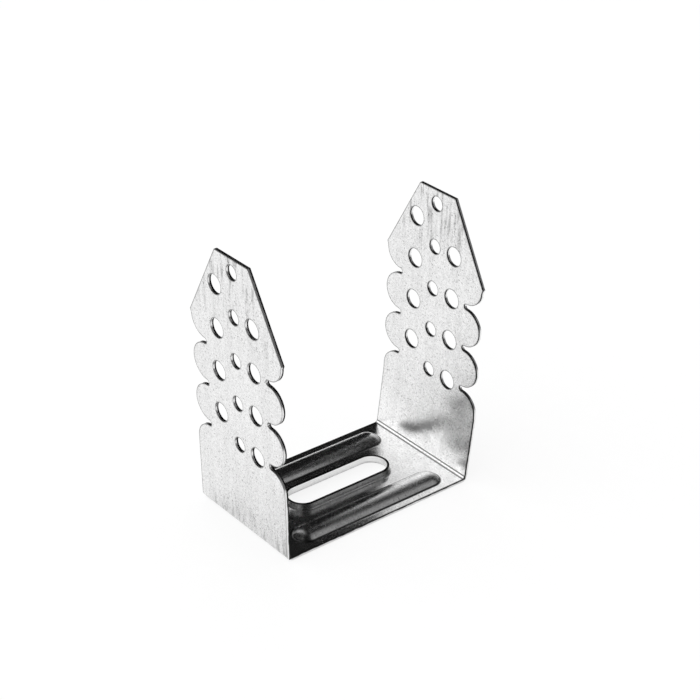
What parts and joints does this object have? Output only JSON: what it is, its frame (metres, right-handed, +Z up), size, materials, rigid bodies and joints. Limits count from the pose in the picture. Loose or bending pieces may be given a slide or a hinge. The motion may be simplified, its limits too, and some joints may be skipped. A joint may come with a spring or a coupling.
{
  "type": "u bracket",
  "caption": "Folded sheet-steel U bracket with scalloped, perforated tapering legs and a base with a collared slot between two raised stiffening ribs.",
  "frame": {"origin": "middle of the base slot, on the underside of the base", "axes": "+Y along the base from the leaning leg to the upright leg, +X across the strip toward the level column of large holes, +Z up the legs"},
  "size_m": [0.0366, 0.0649, 0.0772],
  "materials": {
    "zinc_steel": "hot-dip zinc coating, fine grain, fairly bright"
  },
  "bodies": {
    "root": {"bracket": "zinc_steel"}
  },
  "joints": []
}
